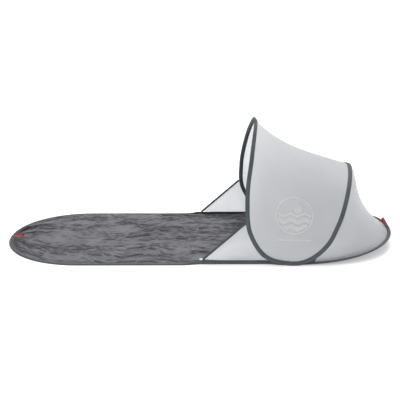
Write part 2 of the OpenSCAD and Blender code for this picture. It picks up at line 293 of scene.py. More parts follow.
# ======================= Mesh builders =======================
def make_object(name, points, faces, uvs, material, sharp=40):
    mesh = bpy.data.meshes.new(name)
    corners = np.asarray(points).reshape(-1, 3).tolist()
    mesh.from_pydata(corners, [], [list(map(int, f)) for f in faces])
    layer = mesh.uv_layers.new(name="cloth")
    corner = np.zeros(len(mesh.loops), np.int32)
    mesh.loops.foreach_get("vertex_index", corner)
    layer.data.foreach_set("uv", np.asarray(uvs, np.float32).reshape(-1, 2)[corner].ravel())
    mesh.polygons.foreach_set("use_smooth", np.ones(len(mesh.polygons), bool))
    mesh.set_sharp_from_angle(angle=math.radians(sharp))
    mesh.materials.append(material)
    mesh.update()
    obj = bpy.data.objects.new(name, mesh)
    bpy.context.scene.collection.objects.link(obj)
    return obj


def grid_faces(n, m, start=0, flip=False):
    i, j = np.meshgrid(np.arange(n - 1), np.arange(m - 1), indexing="ij")
    a = (start + i * m + j).ravel()
    quads = np.stack([a, a + 1, a + m + 1, a + m], -1)
    return quads[:, ::-1] if flip else quads


def grid_normals(grid):
    return unit(np.cross(np.gradient(grid, axis=0), np.gradient(grid, axis=1)))


def sheet_object(name, grid, material, thickness=CLOTH, uv=None):
    """A closed thin sheet about a grid of points, with UVs in metres of cloth."""
    n, m = grid.shape[:2]
    lean = grid_normals(grid) * thickness / 2
    if uv is None:
        uv = np.stack([lengths(grid), lengths(grid.transpose(1, 0, 2)).T], -1)
    rim = np.concatenate([
        np.arange(m), np.arange(1, n) * m + m - 1,
        (n - 1) * m + np.arange(m - 2, -1, -1), np.arange(n - 2, 0, -1) * m,
    ])
    back = n * m
    after = np.roll(rim, -1)
    faces = np.concatenate([
        grid_faces(n, m, flip=True), grid_faces(n, m, back),
        np.stack([rim, after, back + after, back + rim], -1),
    ])
    points = np.concatenate([(grid + lean).reshape(-1, 3), (grid - lean).reshape(-1, 3)])
    return make_object(name, points, faces, np.concatenate([uv.reshape(-1, 2)] * 2), material)


def sweep_object(name, centre, along, wide, section, material, closed=False, sharp=40):
    """A section of (across, through) points carried along a line. It may differ at each station."""
    n = len(centre)
    section = np.broadcast_to(section, (n,) + np.shape(section)[-2:])
    m = section.shape[1]
    through = np.cross(along, wide)
    points = (
        centre[:, None]
        + section[..., :1] * wide[:, None]
        + section[..., 1:] * through[:, None]
    )
    i, j = np.meshgrid(np.arange(n if closed else n - 1), np.arange(m), indexing="ij")
    a, b = i * m + j, i * m + (j + 1) % m
    c, d = (i + 1) % n * m + (j + 1) % m, (i + 1) % n * m + j
    faces = np.stack([a, b, c, d], -1).reshape(-1, 4).tolist()
    if not closed:
        faces += [list(range(m))[::-1], list(range((n - 1) * m, n * m))]
    u = np.repeat(lengths(centre)[:, None], m, axis=1)
    v = np.repeat(lengths(section[0])[None], n, axis=0)
    return make_object(name, points, faces, np.stack([u, v], -1), material, sharp)


def stitches(name, line, normal, material, pitch=0.0046, length=0.0031):
    """A row of single stitches along a line of points, standing a little proud along normal."""
    width, height = 0.0007, 0.0005
    at = lengths(line)
    middles = np.arange(pitch, at[-1] - pitch / 2, pitch)
    place = np.stack([np.interp(middles, at, line[:, a]) for a in range(3)], -1)
    up = unit(np.stack([np.interp(middles, at, normal[:, a]) for a in range(3)], -1))
    ahead = np.stack([np.interp(middles + pitch / 4, at, line[:, a]) for a in range(3)], -1)
    along = unit(ahead - place)
    side = np.cross(up, along)
    corners = np.stack([
        place - along * length / 2, place - side * width / 2, place + up * height,
        place + side * width / 2, place + along * length / 2, place - up * height / 2,
    ], 1)
    one = np.array([
        [0, 1, 2], [0, 2, 3], [4, 2, 1], [4, 3, 2], [0, 5, 1], [0, 3, 5], [4, 1, 5], [4, 5, 3],
    ])
    faces = (one[None] + 6 * np.arange(len(middles))[:, None, None]).reshape(-1, 3)
    uvs = np.zeros((len(middles) * 6, 2))
    return make_object(name, corners, faces, uvs, material, sharp=80)


# ======================= Materials =======================
class Nodes:
    """Writes a material's nodes in a few words."""

    def __init__(self, name, roughness, **fixed):
        self.material = bpy.data.materials.new(name)
        self.material.use_nodes = True
        self.tree = self.material.node_tree
        self.shader = self.tree.nodes["Principled BSDF"]
        self.shader.inputs["Roughness"].default_value = roughness
        for key, value in fixed.items():
            self.shader.inputs[key.replace("_", " ")].default_value = value

    def add(self, kind, inputs=(), **settings):
        node = self.tree.nodes.new("ShaderNode" + kind)
        for key, value in settings.items():
            setattr(node, key, value)
        for key, value in dict(inputs).items():
            self.put(node.inputs[key], value)
        return node

    def put(self, socket, value):
        if isinstance(value, bpy.types.NodeSocket):
            self.tree.links.new(value, socket)
        else:
            socket.default_value = value

    def math(self, operation, a, b=0.0, clamp=False):
        return self.add("Math", {0: a, 1: b}, operation=operation, use_clamp=clamp).outputs[0]

    def cloth(self):
        """The UV map in metres of cloth: its node's output and its two parts."""
        uv = self.add("UVMap", uv_map="cloth").outputs[0]
        parts = self.add("SeparateXYZ", {0: uv})
        return uv, parts.outputs[0], parts.outputs[1]

    def noise(self, vector, scale, detail, stretch=(1, 1, 1)):
        mapped = self.add("Mapping", {"Vector": vector, "Scale": stretch}).outputs[0]
        inputs = {"Vector": mapped, "Scale": scale, "Detail": detail}
        return self.add("TexNoise", inputs).outputs[0]

    def weave(self, u, v, thread):
        """The height of a plain weave with that thread pitch, from 0 to 1."""
        turn = math.pi / thread
        warp, weft = (self.math("SINE", self.math("MULTIPLY", w, turn)) for w in (u, v))
        over = self.math("GREATER_THAN", self.math("MULTIPLY", warp, weft), 0.0)
        return self.mix_value(over, self.math("ABSOLUTE", warp), self.math("ABSOLUTE", weft))

    def mix_value(self, factor, a, b):
        node = self.add("Mix", data_type="FLOAT")
        for socket, value in zip((0, 2, 3), (factor, a, b)):
            self.put(node.inputs[socket], value)
        return node.outputs[0]

    def mix_colour(self, factor, a, b):
        node = self.add("Mix", data_type="RGBA")
        for socket, value in zip((0, 6, 7), (factor, a, b)):
            self.put(node.inputs[socket], value)
        return node.outputs[2]

    def ramp(self, value, low, high, to_low=0.0, to_high=1.0):
        inputs = {0: value, 1: low, 2: high, 3: to_low, 4: to_high}
        return self.add("MapRange", inputs, interpolation_type="SMOOTHSTEP").outputs[0]

    def bump(self, height, distance, strength, under=None):
        inputs = {"Height": height, "Distance": distance, "Strength": strength}
        if under is not None:
            inputs["Normal"] = under
        return self.add("Bump", inputs).outputs[0]

    def finish(self, colour, normal=None, roughness=None):
        self.put(self.shader.inputs["Base Color"], colour)
        if normal is not None:
            self.put(self.shader.inputs["Normal"], normal)
        if roughness is not None:
            self.put(self.shader.inputs["Roughness"], roughness)
        return self.material


def rgb(r, g, b):
    """A linear colour from 0-255 screen values."""
    scaled = [c / 255 for c in (r, g, b)]
    return tuple(c / 12.92 if c <= 0.04045 else ((c + 0.055) / 1.055) ** 2.4 for c in scaled) + (1,)


THREAD = 0.0011          # pitch of the weave's threads


def mat_material():
    n = Nodes("mat polyester", 0.55, Sheen_Weight=0.1, Sheen_Roughness=0.4)
    uv, u, v = n.cloth()
    patches = n.noise(uv, 5, detail=4)
    streaks = n.noise(uv, 42, detail=3, stretch=(0.16, 1, 1))
    creases = n.ramp(n.math("ABSOLUTE", n.math("SUBTRACT", streaks, 0.5)), 0.0, 0.06)
    colour = n.mix_colour(n.ramp(patches, 0.35, 0.65), rgb(91, 90, 96), rgb(103, 102, 108))
    colour = n.mix_colour(n.ramp(creases, 0, 1, 0.35, 0.0), colour, rgb(112, 111, 117))
    painted_crest_highlight = n.add("Attribute", attribute_name="painted_crest_highlight").outputs["Fac"]
    painted_flank_shade = n.add("Attribute", attribute_name="painted_flank_shade").outputs["Fac"]
    # painted shade: the steep flanks of the creases are made dark, by the mesh's own slope
    colour = n.mix_colour(n.ramp(painted_flank_shade, 0.0, 1.0, 0.0, 0.6), colour, rgb(38, 37, 43))
    # painted highlight: the crests of the creases are made lighter, by the mesh's own height
    colour = n.mix_colour(n.ramp(painted_crest_highlight, 0.6, 1.0, 0.0, 0.35), colour, rgb(126, 125, 131))
    weave = n.weave(u, v, THREAD)
    normal = n.bump(streaks, 0.006, 1.0)
    normal = n.bump(creases, 0.0006, 0.6, normal)
    normal = n.bump(weave, 0.0001, 0.5, normal)
    rough = n.ramp(patches, 0.3, 0.7, 0.56, 0.68)
    return n.finish(colour, normal, rough)


def sleeve_material():
    n = Nodes("sleeve polyester", 0.6, Sheen_Weight=0.12, Sheen_Roughness=0.4)
    uv, u, v = n.cloth()
    patches = n.noise(uv, 14, detail=4)
    puckers = n.noise(uv, 90, detail=2, stretch=(1, 0.25, 1))
    colour = n.mix_colour(n.ramp(patches, 0.3, 0.7), rgb(63, 70, 75), rgb(74, 81, 86))
    colour = n.mix_colour(n.ramp(puckers, 0.55, 0.8, 0, 0.3), colour, rgb(94, 101, 106))
    normal = n.bump(puckers, 0.0015, 0.7)
    normal = n.bump(n.weave(u, v, THREAD), 0.00012, 0.5, normal)
    return n.finish(colour, normal, n.ramp(patches, 0.3, 0.7, 0.52, 0.66))


def canopy_fabric(name, light, dark, printed=False):
    n = Nodes(name, 0.5, Subsurface_Weight=1.0, Subsurface_Scale=0.004, Subsurface_Radius=(1, 1, 1))
    uv, u, v = n.cloth()
    patches = n.noise(uv, 3.2, detail=3)
    slack = n.noise(uv, 9, detail=3, stretch=(1, 0.45, 1))
    weave = n.weave(u, v, THREAD)
    colour = n.mix_colour(n.ramp(patches, 0.3, 0.7), dark, light)
    colour = n.mix_colour(n.ramp(weave, 0.0, 0.6, 0.06, 0.0), colour, rgb(180, 182, 187))
    normal = n.bump(slack, 0.004, 0.5)
    normal = n.bump(weave, 0.0001, 0.5, normal)
    if printed:
        colour = n.mix_colour(print_mask(n), colour, rgb(253, 253, 254))
    return n.finish(colour, normal, n.ramp(patches, 0.3, 0.7, 0.44, 0.56))


def print_mask(n):
    """A round badge with a sun over waves, and a plain stripe under it, in white ink."""
    parts = n.add("SeparateXYZ", {0: n.add("UVMap", uv_map="print").outputs[0]})
    x, y = parts.outputs[0], parts.outputs[1]
    soft = 0.0012

    def inside(distance, edge):
        return n.ramp(distance, edge - soft, edge + soft, 1.0, 0.0)

    def radius(cx, cy):
        dx, dy = n.math("SUBTRACT", x, cx), n.math("SUBTRACT", y, cy)
        squares = n.math("MULTIPLY", dx, dx), n.math("MULTIPLY", dy, dy)
        return n.math("SQRT", n.math("ADD", *squares))

    r = radius(0, 0)
    ring = n.math("MULTIPLY", inside(r, 0.112), n.math("SUBTRACT", 1.0, inside(r, 0.104)))
    disc = inside(r, 0.098)
    sun = inside(radius(0.022, 0.036), 0.026)
    ripple = n.math("MULTIPLY", n.math("SINE", n.math("MULTIPLY", x, 78)), 0.0075)
    level = n.math("ADD", y, ripple)
    sea = inside(level, 0.012)
    bands = n.math("SINE", n.math("MULTIPLY", level, 150))
    waves = n.math("MULTIPLY", sea, n.ramp(bands, -0.6, -0.45))
    badge = n.math("MULTIPLY", disc, n.math("MAXIMUM", sun, waves))
    wide = inside(n.math("ABSOLUTE", x), 0.10)
    stripe = inside(n.math("ABSOLUTE", n.math("ADD", y, 0.146)), 0.0045)
    marks = n.math("MAXIMUM", n.math("MAXIMUM", ring, badge), n.math("MULTIPLY", wide, stripe))
    return n.math("MULTIPLY", marks, 0.9, clamp=True)


def webbing_material():
    n = Nodes("red webbing", 0.55, Sheen_Weight=0.3, Sheen_Roughness=0.4)
    uv, u, v = n.cloth()
    ribs = n.math("ABSOLUTE", n.math("SINE", n.math("MULTIPLY", u, math.pi / 0.0016)))
    rows = n.math("ABSOLUTE", n.math("SINE", n.math("MULTIPLY", v, math.pi / 0.0026)))
    patches = n.noise(uv, 60, detail=3)
    colour = n.mix_colour(n.ramp(patches, 0.3, 0.7), rgb(158, 16, 34), rgb(182, 30, 48))
    colour = n.mix_colour(n.ramp(ribs, 0, 0.7, 0.5, 0), colour, rgb(96, 6, 18))
    normal = n.bump(n.math("MULTIPLY", ribs, rows), 0.0003, 0.8)
    return n.finish(colour, normal)


def plain_cloth(name, light, dark, roughness=0.6):
    n = Nodes(name, roughness, Sheen_Weight=0.2, Sheen_Roughness=0.4)
    uv, u, v = n.cloth()
    patches = n.noise(uv, 30, detail=3)
    colour = n.mix_colour(n.ramp(patches, 0.3, 0.7), dark, light)
    return n.finish(colour, n.bump(n.weave(u, v, THREAD), 0.00012, 0.6))


def steel_material(name, colour, roughness):
    n = Nodes(name, roughness, Metallic=1.0)
    place = n.add("TexCoord").outputs["Object"]
    drawn = n.noise(place, 300, detail=2)
    shade = n.mix_colour(n.ramp(drawn, 0.3, 0.7), colour, tuple(0.8 * c for c in colour[:3]) + (1,))
    return n.finish(shade, n.bump(drawn, 0.0001, 0.4))


def thread_material(name, colour):
    n = Nodes(name, 0.5, Sheen_Weight=0.3)
    place = n.add("TexCoord").outputs["Object"]
    twist = n.noise(place, 900, detail=1)
    shade = n.mix_colour(twist, colour, tuple(0.6 * c for c in colour[:3]) + (1,))
    return n.finish(shade, n.bump(twist, 0.0001, 0.5))


MAT = mat_material()
SLEEVE = sleeve_material()
CANOPY = canopy_fabric("canopy polyester", rgb(216, 219, 226), rgb(210, 213, 221), printed=True)
PANEL = canopy_fabric("panel polyester", rgb(212, 215, 222), rgb(205, 208, 216))
BINDING = plain_cloth("wing binding", rgb(62, 67, 71), rgb(50, 55, 58))
WEBBING = webbing_material()
LABEL_CLOTH = plain_cloth("label satin", rgb(240, 240, 240), rgb(228, 229, 232), 0.35)
STEEL = steel_material("spring steel", (0.45, 0.46, 0.47, 1), 0.35)
FERRULE = steel_material("ferrule steel", (0.55, 0.56, 0.57, 1), 0.3)
DARK_THREAD = thread_material("slate thread", rgb(120, 128, 134))
RED_THREAD = thread_material("red thread", rgb(120, 8, 20))


# ======================= Ground mat =======================
MAT_INSET = 0.0195       # where the mat's cloth ends, on the sleeve's inner flange
MAT_Z = 0.0016
FLANGE_Z = 0.0022        # height of the cloth sewn on the flange, above the mat's
MAT_STEP, MAT_COLUMNS = 0.008, 221
LONG_CREASE, SHORT_CREASE, FINE_CREASE, SWELL = 0.0165, 0.0095, 0.0018, 0.004    # heights
SEAM_MATCH = 0.012       # rows this near to the seam take its creases, so both halves meet
OPEN_CALM, COVERED_CALM = 0.030, 0.085      # how far from the edge the creases start
COVERED_FLAT = 0.012     # flat strip at the edge under the rear panel
EDGE_SHARE = 0.15        # the part of the creases left at the open edge
# crest heights that get a painted highlight, and crease slopes that get painted shade
CREST_HIGHLIGHT_HEIGHTS, FLANK_SHADE_SLOPES = (0.002, 0.016), (0.10, 0.70)


def mat_rows(end_point, start_x):
    """x and half width of the mat's rows, from a rounded end to the seam."""
    turns = np.linspace(math.radians(3.5), math.pi / 2, 64)
    curve = end_point(turns, MAT_INSET)
    rows = int(abs(MAT_SEAM_X - start_x) / MAT_STEP)
    straight = np.arange(1, rows + 1) / rows
    x = np.concatenate([curve[:, 0], mix(start_x, MAT_SEAM_X, straight)])
    half = np.concatenate([np.abs(curve[:, 1]), np.full(len(straight), HALF_W - MAT_INSET)])
    return x, half


def ridges(n):
    """Sharp-topped creases along the lines where noise n changes sign, flat between them."""
    return (1 - np.minimum(1, np.abs(n))) ** 5


def mat_wrinkles(x, across, half, slant):
    """Height of the crumpled cloth: long creases that run with the mat and close in at its ends."""
    x = x + np.clip(MAT_SEAM_X - x, -SEAM_MATCH, SEAM_MATCH)
    v = across * (HALF_W - MAT_INSET)
    sway = Noise(3)(x / 0.20, v / 0.12) * 0.055 + Noise(4)(x / 0.6, v / 0.25) * 0.050
    long = ridges(Noise(6)(x / 0.28, (v + sway) / 0.066))
    up = ridges(Noise(5)(x / 0.15, (v + sway + 0.22 * x) / 0.037))
    down = ridges(Noise(10)(x / 0.13, (v + sway - 0.25 * x) / 0.040))
    small = Noise(7)(x / 0.05, (v + sway) / 0.018)
    much = 0.5 + 0.5 * smooth(0.5 + Noise(9)(x / 0.4, v / 0.2))
    short = np.maximum(up, down) * (1.1 - 0.5 * long)
    creases = LONG_CREASE * long * much + SHORT_CREASE * short + FINE_CREASE * small
    broad = SWELL * smooth(0.5 + 0.8 * Noise(8)(x / 0.33, v / 0.13))
    covered = smooth((x - STAND_X) / 0.12)      # where the rear panel comes down to the edge
    edge = (1 - np.abs(across)) * half / np.hypot(1, slant)
    calm = smooth((edge - COVERED_FLAT * covered) / mix(OPEN_CALM, COVERED_CALM, covered))
    narrow = np.clip(half / 0.22, 0.3, 1)
    return np.maximum(0, (creases + broad) * mix(EDGE_SHARE * (1 - covered), 1, calm) * narrow)


def add_measure(obj, name, measure, ends):
    """A measure of the creases for the material's painted highlight and painted shade: 0 at the low
    end to 1 at the high.
    """
    low, high = ends
    share = np.clip((np.concatenate([measure.ravel()] * 2) - low) / (high - low), 0, 1)
    attribute = obj.data.attributes.new(name, "FLOAT", "POINT")
    attribute.data.foreach_set("value", share.astype(np.float32))


def make_mat(name, end_point, start_x, nodes):
    x, half = mat_rows(end_point, start_x)
    if x[0] > x[-1]:
        x, half = x[::-1], half[::-1]
    across = np.linspace(-1, 1, MAT_COLUMNS)
    gx = np.repeat(x[:, None], MAT_COLUMNS, axis=1)
    share = np.repeat(across[None], len(x), axis=0)
    gy = share * half[:, None]
    slant = np.gradient(half, x)[:, None]
    height = mat_wrinkles(gx, share, half[:, None], slant)
    gz = MAT_Z + lift(gx) + height
    grid = np.stack([gx, gy, gz], -1)
    uv = np.stack([gx, share * HALF_W], -1)
    obj = sheet_object(name, grid, MAT, uv=uv)
    # the creases' height and slope, stored for their painted highlight and painted shade
    steep = np.abs(np.gradient(height, axis=1)) / np.maximum(np.gradient(gy, axis=1), 0.0005)
    add_measure(obj, "painted_crest_highlight", height, CREST_HIGHLIGHT_HEIGHTS)
    add_measure(obj, "painted_flank_shade", steep, FLANK_SHADE_SLOPES)
    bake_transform(obj)
    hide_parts(*nodes)


make_mat("mat_front", foot_point, FOOT_START,
         ["floor_foot", "floor_middle"])
make_mat("mat_rear", head_point, HEAD_START,
         ["floor_head"])


# ======================= Sleeves and wires =======================
def dome_section():
    """The ground sleeve: a soft tube over the wire, with a thin flange under the mat's edge (-)."""
    half, low = SLEEVE_W / 2, -SLEEVE_T / 2
    w = np.concatenate([[-half, -half + 0.003], np.linspace(-0.0075, 0.0125, 13)])
    crown = 1 - np.clip(np.abs(w - 0.0025) / 0.0105, 0, 1) ** 2.4
    top = low + 0.0009 + (SLEEVE_T - 0.0010) * crown
    outline = np.stack([w, top], -1)
    outer = [[half, low + 0.0022], [half - 0.001, low + 0.0001]]
    return np.concatenate([[[-half, low + 0.0001]], outline, outer])


def slot_section():
    """The canopy hoop's sleeve: a lens over the wire, with a slot at each edge for the cloth."""
    half, lip, gap, deep = SLEEVE_W / 2, 0.0010, 0.00042, 0.0038
    w = np.linspace(half - 0.0006, -half + 0.0006, 17)
    top = lip + 0.0026 * np.exp(-((w / 0.0052) ** 2)) + 0.0003 * np.cos(w / half * math.pi / 2)
    slot = np.array([[half - deep, gap], [half, gap]])
    upper = np.concatenate([slot, np.stack([w, top], -1), slot[::-1] * [-1, 1]])
    return np.concatenate([upper, upper[::-1] * [1, -1]])[::-1]


def puckered(section, at, seed, amount):
    """The section at each station, a little fuller and slacker in places, as gathered cloth is."""
    slack = Noise(seed)(at / 0.021, 0.5) * 0.6 + Noise(seed + 1)(at / 0.09, 0.5)
    scale = 1 + amount * slack
    varied = np.repeat(section[None], len(at), axis=0)
    varied[..., 1] *= scale[:, None]
    return varied


def wire_section():
    turns = np.linspace(0, 2 * math.pi, 12, endpoint=False)
    return np.stack([np.cos(turns), np.sin(turns)], -1) * WIRE_D / 2


def blended(obj, bodies, hinge_x, reach, slot, *nodes):
    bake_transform(obj)
    if nodes:
        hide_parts(*nodes)


def make_ground_half(part, end_point, bodies, hinge_x, reach, sleeve_nodes, wire_nodes):
    path = ground_path(end_point, SLEEVE_W / 2)
    centre, along, wide = ground_frames(path)
    at = lengths(centre)
    section = puckered(dome_section() + [0, SLEEVE_T / 2], at, 20, 0.05) - [0, SLEEVE_T / 2]
    sleeve = sweep_object("ground_sleeve_" + part, centre, along, wide, section, SLEEVE)
    blended(sleeve, bodies, hinge_x, reach, "sleeve_cloth", *sleeve_nodes)
    wire = sweep_object("ground_wire_" + part, centre, along, wide, wire_section(), STEEL, sharp=60)
    blended(wire, bodies, hinge_x, reach, "spring_wire", *wire_nodes)
    up = np.cross(along, wide)
    line = centre - wide * 0.0088 - up * (SLEEVE_T / 2 - 0.0011) * np.sign(up[:, 2:])
    row = stitches("ground_stitches_" + part, line, up * np.sign(up[:, 2:]), DARK_THREAD)
    blended(row, bodies, hinge_x, reach, "sleeve_cloth")


make_ground_half("front", foot_point, ("foot_section", "shelter"), FOLD_X, FOLD_REACH,
                 ["ground_sleeve_foot", "ground_sleeve_left", "ground_sleeve_right"],
                 ["ground_wire_foot", "ground_wire_left", "ground_wire_right"])
make_ground_half("rear", head_point, ("shelter", "head_section"), STAND_X, STAND_REACH,
                 ["ground_sleeve_head"], ["ground_wire_head"])


def make_hoop():
    places, stations = 2 * REAR_K, 440
    k = -STAND_K + places * np.arange(stations) / stations
    centre, along, wide = hoop(k), hoop_dir(k), hoop_wide(k)
    bodies, x = ("shelter", "head_section"), STAND_X
    section = puckered(slot_section(), lengths(centre), 30, 0.05)
    sleeve = sweep_object("hoop_sleeve", centre, along, wide, section, SLEEVE, closed=True)
    blended(sleeve, bodies, x, STAND_REACH, "sleeve_cloth", "front_hoop_sleeve", "rear_hoop_sleeve")
    wire = sweep_object("hoop_wire", centre, along, wide, wire_section(), STEEL,
                        closed=True, sharp=60)
    blended(wire, bodies, x, STAND_REACH, "spring_wire", "front_hoop_wire", "rear_hoop_wire")
    through = np.cross(along, wide)
    for side, across in (("inner", 0.0085), ("outer", -0.0085)):
        for face, way in (("a", 1), ("b", -1)):
            line = centre + wide * across + through * way * 0.0014
            line = np.concatenate([line, line[:1]])
            normal = np.concatenate([through, through[:1]]) * way
            row = stitches(f"hoop_stitches_{side}_{face}", line, normal, DARK_THREAD)
            blended(row, bodies, x, STAND_REACH, "sleeve_cloth")


make_hoop()


# ======================= Cloth panels =======================
PUCKER, WING_PUCKER = 0.0011, 0.0009    # heights of the gathers at the seams
SEAM_FADE = 0.030                       # how far the gathers reach from a seam
CANOPY_SLACK, REAR_SLACK, WING_SLACK, WING_BELLY = 0.006, 0.005, 0.004, 0.010


def seam_puckers(along, near, seed):
    """Small gathers beside a seam: along it in metres, near it from 1 at the seam to 0 far away."""
    wave = Noise(seed)(along / 0.028, near * 0.8) + 0.5 * Noise(seed + 1)(along / 0.013, near)
    return 3.2 * near * (1 - near) * wave


def canopy_grid():
    """The canopy, ruled from the front arch to the rear one and sagging between them."""
    k = np.linspace(CANOPY_END_K, -CANOPY_END_K, 195)[:, None]
    s = np.linspace(0, 1, 65)[None]
    a, b = beside_hoop(k, EDGE), beside_hoop(REAR_K - k, EDGE)
    span = np.linalg.norm(b - a, axis=-1, keepdims=True)
    ridge = np.linalg.norm(beside_hoop(0, EDGE) - beside_hoop(REAR_K, EDGE))
    way = unit(np.array([STAND_X + 0.1, 0, 0.1]) - (a + b) / 2)
    s3 = s[..., None]
    sag = RIDGE_SAG * (span / ridge) ** 2 * np.sin(math.pi * s3**0.68)
    body = mix(a, b, s3) + way * sag
    at = lengths(body[:, :1])
    flat_span = span[..., 0]
    gather = seam_puckers(at, np.exp(-s * flat_span / SEAM_FADE), 40)
    gather = gather + seam_puckers(at, np.exp(-(1 - s) * flat_span / SEAM_FADE), 44)
    loose = np.sin(math.pi * s) * CANOPY_SLACK
    slack = Noise(48)(k / 1.3, s * 2.1) * loose * (flat_span / ridge)
    foot = np.exp(-(CANOPY_END_K - np.abs(k)) / 0.8)
    rays = Noise(49)(s * 7, np.sign(k) * 3.3) * foot * loose * (flat_span / 0.3)
    body = body + grid_normals(body) * (gather * PUCKER + slack + rays)[..., None]
    body[:, 0], body[:, -1] = a[:, 0], b[:, 0]
    front = beside_hoop(k, TUCK)
    rear = beside_hoop(REAR_K - k, TUCK)
    rows = np.concatenate([front, body, rear], axis=1)
    reach = STAND_K - CANOPY_END_K
    places = mix(-reach, reach, np.concatenate([[0.02], mix(0.04, 0.96, s[0]), [0.98]]))
    offset = np.full((len(places), 1), TUCK)
    offset[[0, -1]] -= 0.001
    ends = [beside_hoop(side * (STAND_K + places), offset)[None] for side in (1, -1)]
    return np.concatenate([ends[0], rows, ends[1]]), s[0]


def add_print_uv(obj, centre, right, up):
    """A second UV map in metres from the badge's middle, only on the side that carries it."""
    mesh = obj.data
    co = np.array([v.co for v in mesh.vertices], float)
    offset = co - centre
    flat = np.stack([offset @ right, offset @ up], -1)
    flat[co[:, 1] * centre[1] < 0] = 9
    corner = np.zeros(len(mesh.loops), np.int32)
    mesh.loops.foreach_get("vertex_index", corner)
    mesh.uv_layers.new(name="print").data.foreach_set("uv", flat[corner].astype(np.float32).ravel())
    mesh.uv_layers.active = mesh.uv_layers["cloth"]


BADGE_PLACE = np.array([0.5535, -0.3533, 0.2787])      # its middle, on the canopy's right side
BADGE_LEAN = 0.04


def make_canopy():
    grid, s = canopy_grid()
    obj = sheet_object("canopy_cloth", grid, CANOPY)
    near = np.linalg.norm(grid - BADGE_PLACE, axis=-1)
    row, column = np.unravel_index(np.argmin(near), near.shape)
    outward = grid_normals(grid)[row, column]
    outward = outward * -np.sign(outward[1])
    up = unit(np.array([BADGE_LEAN, 0, 1]) - outward * (outward @ [BADGE_LEAN, 0, 1]))
    add_print_uv(obj, grid[row, column], np.cross(up, outward), up)
    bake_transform(obj)
    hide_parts("canopy")


make_canopy()


def rear_foot(q):
    """A point of the rear panel's lower edge, on the ground sleeve's inner flange."""
    side, knee = np.sign(q - 0.5), 0.08
    u = 1 - np.abs(2 * q - 1)
    x0 = hoop(STAND_K + REAR_START)[0]
    run = HEAD_START - x0
    inset = SLEEVE_W - 0.0025
    low = np.stack([x0 + run * u / knee, -side * (HALF_W - inset)], -1)
    round_part = head_point(side * (1 - u) / (1 - knee) * math.pi / 2, inset)
    p = np.where((u < knee)[..., None], low, round_part)
    z = FLANGE_Z + lift(p[..., 0])
    return np.concatenate([p, z[..., None]], -1)


def make_rear_panel():
    q = np.linspace(0, 1, 161)
    k = mix(STAND_K + REAR_START, 3 * STAND_K - REAR_START, q)
    s = np.linspace(0, 1, 49)[None, :, None]
    a, b = beside_hoop(k, -EDGE)[:, None], rear_foot(q)[:, None]
    span = np.linalg.norm(b - a, axis=-1, keepdims=True)
    middle = np.linalg.norm(beside_hoop(REAR_K, -EDGE) - rear_foot(np.array(0.5)))
    way = unit(np.array([STAND_X + 0.2, 0, 0.06]) - (a + b) / 2)
    sag = REAR_SAG * (span / middle) ** 2 * np.sin(math.pi * s**1.25)
    body = mix(a, b, s) + way * sag
    flat_s = s[..., 0]
    flat_span = span[..., 0]
    gather = seam_puckers(lengths(a), np.exp(-flat_s * flat_span / SEAM_FADE), 50)
    gather = gather + 1.4 * seam_puckers(lengths(b), np.exp(-(1 - flat_s) * flat_span / 0.04), 54)
    slack = Noise(58)(q[:, None] * 5, flat_s * 2.3) * np.sin(math.pi * flat_s) * REAR_SLACK
    body = body + grid_normals(body) * (gather * PUCKER + slack)[..., None]
    body[:, 0], body[:, -1] = a[:, 0], b[:, 0]
    grid = np.concatenate([beside_hoop(k, -TUCK)[:, None], body], axis=1)
    obj = sheet_object("rear_cloth", grid, PANEL)
    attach(obj, "head_section")
    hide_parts("rear_panel")


make_rear_panel()


ROLLED_TOP = 0.0248      # top of the rolled sleeve beside the wings
WING_SEAM = np.array([0.4250, 0.0222])      # y and z of the wings' lower edge, on the flange
WING_FOOT = np.array([WING_X, WING_SEAM[0] + 0.0006, ROLLED_TOP + BINDING_W / 2])
WING_HEAD = beside_hoop(WING_TOP_K, -EDGE) - [0.004, 0, 0.002]


def binding_wide():
    """Across the left wing's binding, from its open edge towards the cloth."""
    way = unit(WING_HEAD - WING_FOOT)
    rear = np.array([hoop(WING_LOW_K)[0], *WING_SEAM]) - WING_FOOT
    return unit(rear - way * (rear @ way))


def make_wing(name, side):
    u = np.linspace(0, 1, 61)
    k = mix(WING_LOW_K, WING_TOP_K + 0.05, u)
    s = np.linspace(0, 1, 49)[None, :, None]
    a = beside_hoop(k, -EDGE)[:, None]
    foot_x = mix(hoop(WING_LOW_K)[0], WING_X + BINDING_W / 2, u)
    b = np.stack([foot_x, *(np.full_like(u, place) for place in WING_SEAM)], -1)[:, None]
    body = mix(a, b, s)
    flat_s = s[..., 0]
    rim = np.sin(math.pi * flat_s) * (1 - smooth((u[:, None] - 0.86) / 0.14))
    span = np.linalg.norm(b - a, axis=-1)
    belly = WING_BELLY * rim * np.sin(math.pi * np.minimum(1, u[:, None] * 1.1)) ** 0.7
    slack = Noise(60 + side)(u[:, None] * 3, flat_s * 2.4) * rim * WING_SLACK
    gather = seam_puckers(lengths(b), np.exp(-(1 - flat_s) * span / SEAM_FADE), 64) * WING_PUCKER
    gather = gather + seam_puckers(lengths(a), np.exp(-flat_s * span / SEAM_FADE), 66) * WING_PUCKER
    lean = grid_normals(body)
    lean = lean * -np.sign(lean[..., 1:2])
    body = body + lean * (belly + slack + gather)[..., None]
    body[:, 0], body[:, -1] = a[:, 0], b[:, 0]
    edge_row = mix(WING_HEAD, WING_FOOT, s[0]) + binding_wide() * 0.0022
    body = body + (edge_row - body[-1]) * (u**7)[:, None, None]
    grid = np.concatenate([beside_hoop(k, -TUCK)[:, None], body], axis=1) * [1, side, 1]
    obj = sheet_object(name, grid, PANEL)
    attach(obj, "shelter")
    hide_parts("wing_left" if side > 0 else "wing_right")


